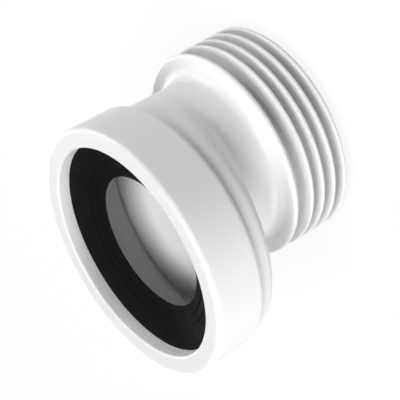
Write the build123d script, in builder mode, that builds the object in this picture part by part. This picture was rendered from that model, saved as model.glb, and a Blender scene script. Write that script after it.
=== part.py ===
from build123d import *
import os

# Toilet pan connector with an offset: a moulded body, a snap-on inlet cap,
# a rubber lip seal for the pan's spigot and a finned sleeve for the soil pipe.
# Millimetres. It stands on its outlet end, with the inlet mouth up.
# The origin is the centre of the outlet's end face.

# Outlet tube of the body
outlet_bore = 79.2  # diameter of the waterway in the outlet
outlet_wall = 2.8  # wall under the finned sleeve
end_bead_height = 1.0  # bead that keeps the sleeve on the tube
end_bead_length = 2.6
end_bead_chamfer = 0.8

# Collar of the body, above the finned sleeve
collar_diameter = 113.0
collar_thickness = 3.2
collar_lean = 1.6  # how far its rim leans towards the inlet
collar_edge_round = 1.4
collar_sweep_share = 0.48  # radius of the sweep from the collar to the tube, as a share of its reach

# Finned sleeve
sleeve_wall = 1.7
sleeve_clearance = 0.1
sleeve_foot = 1.2  # plain sleeve below the last fin
fin_diameter = 113.0  # free size of the fins, for a 110 mm soil pipe
fin_count = 4
fin_pitch = 7.4
sleeve_head = 8.0  # plain sleeve between the first fin and the collar
fin_root = 2.8  # fin thickness at the sleeve
fin_tip = 2.0  # fin thickness at the rim
fin_sweep = 2.0  # how far a fin leans back towards the inlet
fin_edge_round = 0.7
fin_root_round = 0.6

# Neck between the two axes
axis_offset = 20.0
tube_land = 19.4  # tube between the collar and the neck
neck_length = 15.0
neck_floor = 2.2  # thickness of the sloping floor, along the axis
neck_section_count = 9
shoulder_bias = 0.75  # below 1 the shoulder is rounder than the foot
wall = 3.0  # wall of the neck and the skirt

# Inlet skirt of the body
skirt_length = 26.3
chamber_sink = 3.0  # from the top of the sloping floor down to the chamber's corner
chamber_draft = 1.2  # growth of the chamber's radius from its corner to the skirt's end
chamber_ledge = 0.4  # least width of the ledge in the chamber's corner
snap_bead_height = 0.7
snap_bead_width = 2.6
snap_bead_depth = 8.0  # from the skirt's end to the middle of the bead

# Inlet cap
mouth_diameter = 116.4
lip_depth = 7.3  # from the rim to the seal
lip_wall = 2.8
cap_length = 30.0
cap_wall = 3.45  # at the rear edge
cap_draft = 0.8  # growth of the barrel's radius from the rear edge to the rim
cap_web = 3.2  # thickness of the front rim
cap_clearance = 0.15
rim_round = 2.6
mouth_round = 1.2
cap_rear_round = 3.0

# Pan seal
seal_hole_diameter = 72.6
seal_rim = 3.05  # width of the rim that stands in the cap's groove
seal_flange = 3.0  # thickness between the cap's lip and the skirt's end
seal_drop = 5.6  # depth of the dished lip
seal_thickness = 1.6
seal_bead_radius = 0.85
seal_rib_radius = 0.45
seal_rib_pitch = 4.5
seal_rib_count = 2
seal_clearance = 0.15

# Radii about the outlet axis
bore_radius = outlet_bore / 2
seat_radius = bore_radius + outlet_wall
end_bead_radius = seat_radius + end_bead_height
sleeve_bore_radius = seat_radius + sleeve_clearance
tube_radius = sleeve_bore_radius + sleeve_wall
fin_radius = fin_diameter / 2
collar_radius = collar_diameter / 2
collar_sweep = collar_sweep_share * (collar_radius - tube_radius)

# Radii about the inlet axis
mouth_radius = mouth_diameter / 2
lip_radius = mouth_radius + lip_wall
seal_rim_bore_radius = lip_radius + seal_clearance
skirt_radius = seal_rim_bore_radius + seal_rim
chamber_radius = skirt_radius - wall
cap_bore_radius = skirt_radius + cap_clearance
cap_rear_radius = cap_bore_radius + cap_wall
cap_front_radius = cap_rear_radius + cap_draft
bead_centre = seal_hole_diameter / 2 + seal_bead_radius

# Heights above the outlet end
sleeve_bottom = end_bead_length
last_fin_height = sleeve_bottom + sleeve_foot + fin_root / 2
fin_heights = [last_fin_height + index * fin_pitch for index in range(fin_count)]
sleeve_top = fin_heights[-1] + fin_root / 2 + sleeve_head
collar_top = sleeve_top + collar_thickness
bore_step = collar_top + wall
neck_bottom = collar_top + tube_land
neck_top = neck_bottom + neck_length
chamber_corner = neck_top + neck_floor - chamber_sink
skirt_end = neck_top + skirt_length
snap_height = skirt_end - snap_bead_depth
lip_end = skirt_end + seal_flange
rim_height = lip_end + lip_depth
groove_top = rim_height - cap_web
cap_rear = rim_height - cap_length

# Section planes: local x is the distance from the axis, local y the height
outlet_section = Plane.XZ
inlet_section = Plane(origin=(axis_offset, 0, 0), x_dir=(1, 0, 0), z_dir=(0, -1, 0))
inlet_axis = Axis((axis_offset, 0, 0), (0, 0, 1))


def neck_circles(foot_inset, top_inset, lift):
    """Stack of circles from the tube up to the skirt, each nearer to the inlet axis."""
    circles = []
    for index in range(neck_section_count):
        share = index / (neck_section_count - 1)
        eased = share**shoulder_bias
        blend = eased * eased * (3 - 2 * eased)
        foot_radius = tube_radius - foot_inset
        top_radius = skirt_radius - top_inset
        radius = foot_radius + (top_radius - foot_radius) * blend
        height = neck_bottom + lift + neck_length * share
        with BuildSketch(Plane(origin=(axis_offset * blend, 0, height))) as circle:
            Circle(radius)
        circles.append(circle.sketch)
    return circles


def snap_section(clearance):
    """Section of the snap bead on the skirt, or of its groove in the cap."""
    half_width = snap_bead_width / 2 + clearance
    with BuildSketch(inlet_section) as section:
        with BuildLine():
            Polyline(
                (skirt_radius - wall / 2, snap_height - half_width),
                (skirt_radius, snap_height - half_width),
                (skirt_radius + snap_bead_height + clearance, snap_height),
                (skirt_radius, snap_height + half_width),
                (skirt_radius - wall / 2, snap_height + half_width),
                close=True,
            )
        make_face()
    return section.sketch


# Body: outlet tube with its collar, eccentric neck and inlet skirt in one moulding
with BuildPart() as body:
    with BuildSketch(outlet_section) as tube_section:
        with BuildLine():
            Polyline(
                (0, 0),
                (end_bead_radius - end_bead_chamfer, 0),
                (end_bead_radius, end_bead_chamfer),
                (end_bead_radius, end_bead_length),
                (seat_radius, end_bead_length),
                (seat_radius, sleeve_top),
                (tube_radius, sleeve_top),
                (collar_radius, sleeve_top + collar_lean),
                (collar_radius, collar_top + collar_lean),
                (tube_radius, collar_top),
                (tube_radius, neck_bottom),
                (0, neck_bottom),
                close=True,
            )
        make_face()
        tube_corners = tube_section.vertices().filter_by_position(Axis.X, tube_radius, tube_radius)
        fillet(tube_corners.sort_by(Axis.Y)[1], min(collar_sweep, tube_land * 0.5))
        rim_corners = tube_section.vertices().filter_by_position(Axis.X, collar_radius, collar_radius)
        fillet(rim_corners, min(collar_edge_round, collar_thickness * 0.45))
    revolve(axis=Axis.Z)
    loft(neck_circles(0, 0, 0))
    with BuildSketch(Plane(origin=(axis_offset, 0, neck_top))):
        Circle(skirt_radius)
    extrude(amount=skirt_length)
    revolve(snap_section(0), axis=inlet_axis)

    # Waterway: outlet bore, wider bore in the tube, neck and inlet chamber
    with BuildSketch(Plane.XY):
        Circle(bore_radius)
    extrude(amount=neck_bottom, mode=Mode.SUBTRACT)
    with BuildSketch(Plane.XY.offset(bore_step)):
        Circle(tube_radius - wall)
    extrude(amount=neck_bottom + neck_floor - bore_step, mode=Mode.SUBTRACT)
    loft(neck_circles(wall, wall + chamber_draft + chamber_ledge, neck_floor), mode=Mode.SUBTRACT)
    with BuildSketch(inlet_section):
        with BuildLine():
            Polyline(
                (0, chamber_corner),
                (chamber_radius - chamber_draft, chamber_corner),
                (chamber_radius, skirt_end),
                (0, skirt_end),
                close=True,
            )
        make_face()
    revolve(axis=inlet_axis, mode=Mode.SUBTRACT)
body.part.label = "body"

# Inlet cap: barrel, front rim and the lip that holds the seal down
with BuildPart() as inlet_cap:
    with BuildSketch(inlet_section):
        with BuildLine():
            Polyline(
                (mouth_radius, rim_height),
                (cap_front_radius, rim_height),
                (cap_rear_radius, cap_rear),
                (cap_bore_radius, cap_rear),
                (cap_bore_radius, groove_top),
                (lip_radius, groove_top),
                (lip_radius, lip_end),
                (mouth_radius, lip_end),
                close=True,
            )
        make_face()
    revolve(axis=inlet_axis)
    revolve(snap_section(cap_clearance), axis=inlet_axis, mode=Mode.SUBTRACT)
    rim_edges = inlet_cap.faces().sort_by(Axis.Z)[-1].edges().sort_by(SortBy.RADIUS)
    rear_edges = inlet_cap.faces().sort_by(Axis.Z)[0].edges().sort_by(SortBy.RADIUS)
    fillet(rim_edges[-1], rim_round)
    fillet(rim_edges[0], min(mouth_round, lip_wall * 0.8))
    fillet(rear_edges[-1], min(cap_rear_round, cap_wall * 0.9))
inlet_cap.part.label = "inlet_cap"

# Pan seal: rim in the cap's groove, flange on the skirt's end and dished lip
with BuildPart() as pan_seal:
    with BuildSketch(inlet_section):
        with BuildLine():
            Polyline(
                (mouth_radius, lip_end),
                (seal_rim_bore_radius, lip_end),
                (seal_rim_bore_radius, groove_top - seal_clearance),
                (skirt_radius, groove_top - seal_clearance),
                (skirt_radius, skirt_end),
                (chamber_radius, skirt_end),
                (bead_centre, lip_end - seal_drop - seal_thickness),
                (bead_centre, lip_end - seal_drop),
                close=True,
            )
        make_face()
        with Locations((bead_centre, lip_end - seal_drop - seal_thickness / 2)):
            Circle(seal_bead_radius)
        for index in range(1, seal_rib_count + 1):
            rib_place = bead_centre + index * seal_rib_pitch
            rib_share = (mouth_radius - rib_place) / (mouth_radius - bead_centre)
            with Locations((rib_place, lip_end - seal_drop * rib_share)):
                Circle(seal_rib_radius)
    revolve(axis=inlet_axis)
pan_seal.part.label = "pan_seal"

# Outlet seal: sleeve with fins that lean back towards the inlet
with BuildPart() as outlet_seal:
    with BuildSketch(outlet_section) as sleeve_section:
        with BuildLine():
            Polyline(
                (sleeve_bore_radius, sleeve_bottom),
                (tube_radius, sleeve_bottom),
                (tube_radius, sleeve_top),
                (sleeve_bore_radius, sleeve_top),
                close=True,
            )
        make_face()
        for height in fin_heights:
            tip_height = height + fin_sweep
            with BuildLine():
                Polyline(
                    (sleeve_bore_radius, height - fin_root / 2),
                    (tube_radius, height - fin_root / 2),
                    (fin_radius, tip_height - fin_tip / 2),
                    (fin_radius, tip_height + fin_tip / 2),
                    (tube_radius, height + fin_root / 2),
                    (sleeve_bore_radius, height + fin_root / 2),
                    close=True,
                )
            make_face()
        roots = sleeve_section.vertices().filter_by_position(Axis.X, tube_radius, tube_radius)
        fillet(roots.sort_by(Axis.Y)[1:-1], min(fin_root_round, sleeve_foot * 0.6))
        tips = sleeve_section.vertices().filter_by_position(Axis.X, fin_radius, fin_radius)
        fillet(tips, min(fin_edge_round, fin_tip * 0.4))
    revolve(axis=Axis.Z)
outlet_seal.part.label = "outlet_seal"

os.makedirs("parts", exist_ok=True)
for piece in (body, inlet_cap, pan_seal, outlet_seal):
    export_step(piece.part, f"parts/{piece.part.label}.step")
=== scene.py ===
import math
from functools import cached_property

import bpy
from mathutils import Matrix, Vector

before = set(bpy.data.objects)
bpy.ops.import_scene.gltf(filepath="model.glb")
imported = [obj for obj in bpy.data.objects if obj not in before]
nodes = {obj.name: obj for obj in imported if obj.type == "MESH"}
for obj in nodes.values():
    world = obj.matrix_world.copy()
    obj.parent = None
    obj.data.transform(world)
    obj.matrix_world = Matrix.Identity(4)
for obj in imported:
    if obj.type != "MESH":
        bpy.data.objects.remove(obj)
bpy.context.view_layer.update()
scene = bpy.context.scene
scene.view_settings.view_transform = "Standard"

# Lengths are in metres, angles in degrees and lamp powers in watts.
inlet_axis_x = 0.02  # the mouth's axis, from the outlet's axis
ring_pitch = 0.0014  # the fine turned rings on the pan seal
corner_round = 0.002  # how soft the body's moulded corners look
part_middle = Vector((0.01, 0.0, 0.06))
lamp_distance = 3.0


class Shader:
    """Adds and links nodes in one material."""

    def __init__(self, name):
        self.material = bpy.data.materials.new(name)
        self.material.use_nodes = True
        self.tree = self.material.node_tree
        self.surface = self.tree.nodes["Principled BSDF"]

    def put(self, socket, value):
        """Links a socket to another one, or sets its value."""
        if isinstance(value, bpy.types.NodeSocket):
            self.tree.links.new(value, socket)
        else:
            socket.default_value = value

    def node(self, kind, sockets=None, **settings):
        """Adds a node with its settings, then fills its sockets by name or by number."""
        node = self.tree.nodes.new(kind)
        for key, value in settings.items():
            setattr(node, key, value)
        for key, value in (sockets or {}).items():
            self.put(node.inputs[key], value)
        return node

    def finish(self, sockets):
        """Fills sockets of the surface itself."""
        for key, value in sockets.items():
            self.put(self.surface.inputs[key], value)
        return self.material

    @cached_property
    def place(self):
        """Where a point is in the part's own frame."""
        return self.node("ShaderNodeTexCoord").outputs["Object"]

    def math(self, operation, *values):
        return self.node("ShaderNodeMath", dict(enumerate(values)), operation=operation).outputs[0]

    def scaled(self, factors):
        sockets = {0: self.place, 1: factors}
        return self.node("ShaderNodeVectorMath", sockets, operation="MULTIPLY").outputs["Vector"]

    def noise(self, scale, detail=2.0, vector=None):
        sockets = {"Vector": vector or self.place, "Scale": scale, "Detail": detail}
        return self.node("ShaderNodeTexNoise", sockets).outputs["Fac"]

    def spread(self, value, low, high, from_low=0.3, from_high=0.7):
        """Maps the usual span of a noise to the span from low to high."""
        span = {"From Min": from_low, "From Max": from_high, "To Min": low, "To Max": high}
        return self.node("ShaderNodeMapRange", {"Value": value, **span}).outputs["Result"]

    def mix(self, factor, first, second):
        """Mixes two colours. The colour sockets share their names with others, so they go by number."""
        sockets = {"Factor": factor, 6: first, 7: second}
        return self.node("ShaderNodeMix", sockets, data_type="RGBA").outputs[2]

    def bump(self, height, strength, distance, under=None):
        sockets = {"Height": height, "Strength": strength, "Distance": distance}
        if under is not None:
            sockets["Normal"] = under
        return self.node("ShaderNodeBump", sockets).outputs["Normal"]

    def rounded(self, radius):
        return self.node("ShaderNodeBevel", {"Radius": radius}, samples=8).outputs["Normal"]

    def radius(self, axis_x):
        """The distance from an upright axis."""
        x, y, _ = self.node("ShaderNodeSeparateXYZ", {0: self.place}).outputs
        across = self.math("POWER", self.math("SUBTRACT", x, axis_x), 2.0)
        return self.math("SQRT", self.math("ADD", across, self.math("POWER", y, 2.0)))


def white_plastic(name, pale, shade, roughness, grain, milky, corner=None):
    """Satin moulded plastic: faint flow clouds and specks, a fine eroded grain and drag marks."""
    s = Shader(name)
    dusty = [channel * 0.955 for channel in shade]
    clouds = s.spread(s.noise(22.0, 3.0), 0.0, 1.0)
    specks = s.spread(s.noise(900.0, 1.0), 0.0, 0.35, 0.62, 0.75)
    tone = s.mix(specks, s.mix(clouds, (*pale, 1.0), (*shade, 1.0)), (*dusty, 1.0))
    handled = s.spread(s.noise(55.0, 4.0), roughness - 0.05, roughness + 0.06)
    drag = s.noise(160.0, 2.0, s.scaled((6.0, 6.0, 0.35)))
    waves = s.bump(s.noise(70.0, 1.0), 0.12, 0.0006, s.rounded(corner) if corner else None)
    drawn = s.bump(drag, 0.05, 0.0002, waves)
    eroded = s.bump(s.noise(2600.0, 2.0), grain, 0.00012, drawn)
    weight, scale = milky
    return s.finish({
        "Base Color": tone,
        "Roughness": handled,
        "Normal": eroded,
        "IOR": 1.49,
        "Subsurface Weight": weight,
        "Subsurface Radius": (1.0, 1.0, 1.0),
        "Subsurface Scale": scale,
    })


def black_rubber(name):
    """Moulded rubber: near black, with a faint bloom, a fine grain and turned rings."""
    s = Shader(name)
    bloom = s.spread(s.noise(45.0, 4.0), 0.0, 1.0)
    turns = s.math("SINE", s.math("MULTIPLY", s.radius(inlet_axis_x), 2.0 * math.pi / ring_pitch))
    rings = s.bump(turns, 0.04, 0.00006)
    return s.finish({
        "Base Color": s.mix(bloom, (0.003, 0.003, 0.0029, 1.0), (0.005, 0.005, 0.0048, 1.0)),
        "Roughness": s.spread(s.noise(120.0, 3.0), 0.62, 0.76),
        "Normal": s.bump(s.noise(1900.0, 2.0), 0.16, 0.00012, rings),
        "IOR": 1.5,
        "Specular IOR Level": 0.1,
    })


# Materials. The share of the light that spreads inside the plastic, and how far it goes there
hard = (0.35, 0.004)
soft = (0.65, 0.007)
moulding = ((0.815, 0.815, 0.81), (0.795, 0.795, 0.79))
white = ((0.82, 0.82, 0.815), (0.8, 0.8, 0.795))
finishes = {
    "body": white_plastic("white_moulding", *moulding, 0.42, 0.07, hard, corner_round),
    "inlet_cap": white_plastic("white_cap", *white, 0.4, 0.06, hard),
    "pan_seal": black_rubber("black_rubber"),
    "outlet_seal": white_plastic("white_fins", *white, 0.52, 0.1, soft),
}
for name, material in finishes.items():
    mesh = nodes[name].data
    mesh.materials.clear()
    mesh.materials.append(material)

# Floor: a pale sheet that looks white, keeps a soft shadow and throws little light back
bpy.ops.mesh.primitive_plane_add(size=8.0, location=(0.0, 0.0, -0.0001))
floor = bpy.context.object
floor.name = "floor"
paper = Shader("paper")
rays = paper.node("ShaderNodeLightPath").outputs
direct = paper.math("MAXIMUM", rays["Is Camera Ray"], rays["Is Glossy Ray"])
through = paper.math("MAXIMUM", direct, rays["Is Transmission Ray"])
glow = paper.node("ShaderNodeEmission", {"Strength": 1.0})
sheet = paper.mix(through, (0.4, 0.4, 0.4, 1.0), (0.9, 0.9, 0.9, 1.0))
paper.finish({"Base Color": sheet, "Roughness": 0.9})
layers = {"Fac": paper.math("MULTIPLY", through, 0.9), 1: paper.surface.outputs[0], 2: glow.outputs[0]}
blend = paper.node("ShaderNodeMixShader", layers)
paper.put(paper.tree.nodes["Material Output"].inputs["Surface"], blend.outputs[0])
floor.data.materials.append(paper.material)

# World: an even white fill
world = bpy.data.worlds.new("studio")
scene.world = world
world.use_nodes = True
fill = world.node_tree.nodes["Background"].inputs
fill["Color"].default_value = (1.0, 1.0, 1.0, 1.0)
fill["Strength"].default_value = 0.05


def lamp(name, azimuth, elevation, size, power):
    """A square soft box that faces the middle of the part."""
    data = bpy.data.lights.new(name, "AREA")
    data.energy = power
    data.size = size
    box = bpy.data.objects.new(name, data)
    scene.collection.objects.link(box)
    turn, rise = math.radians(azimuth), math.radians(elevation)
    away = Vector((math.cos(turn) * math.cos(rise), math.sin(turn) * math.cos(rise), math.sin(rise)))
    box.location = part_middle + away * lamp_distance
    box.rotation_euler = (-away).to_track_quat("-Z", "Y").to_euler()


lamp("top", 90.0, 58.0, 1.5, 86.0)
lamp("side", 20.0, 4.0, 1.65, 98.0)
lamp("back", 210.0, 20.0, 1.65, 50.0)
lamp("far", 265.0, 4.0, 1.65, 48.0)

# Camera: the photograph's view, with the mouth to the lower left
right = Vector((0.37443221, 0.52578555, -0.76377357))
up = Vector((-0.89345941, -0.01577205, -0.44886693))
back = Vector((-0.24805402, 0.85047093, 0.46386249))
lens = bpy.data.cameras.new("camera")
lens.sensor_width = 36.0
lens.lens = 161.26
camera = bpy.data.objects.new("camera", lens)
scene.collection.objects.link(camera)
placed = Matrix((right, up, back)).transposed().to_4x4()
placed.translation = Vector((-0.21094, 0.77280, 0.48359))
camera.matrix_world = placed
scene.camera = camera
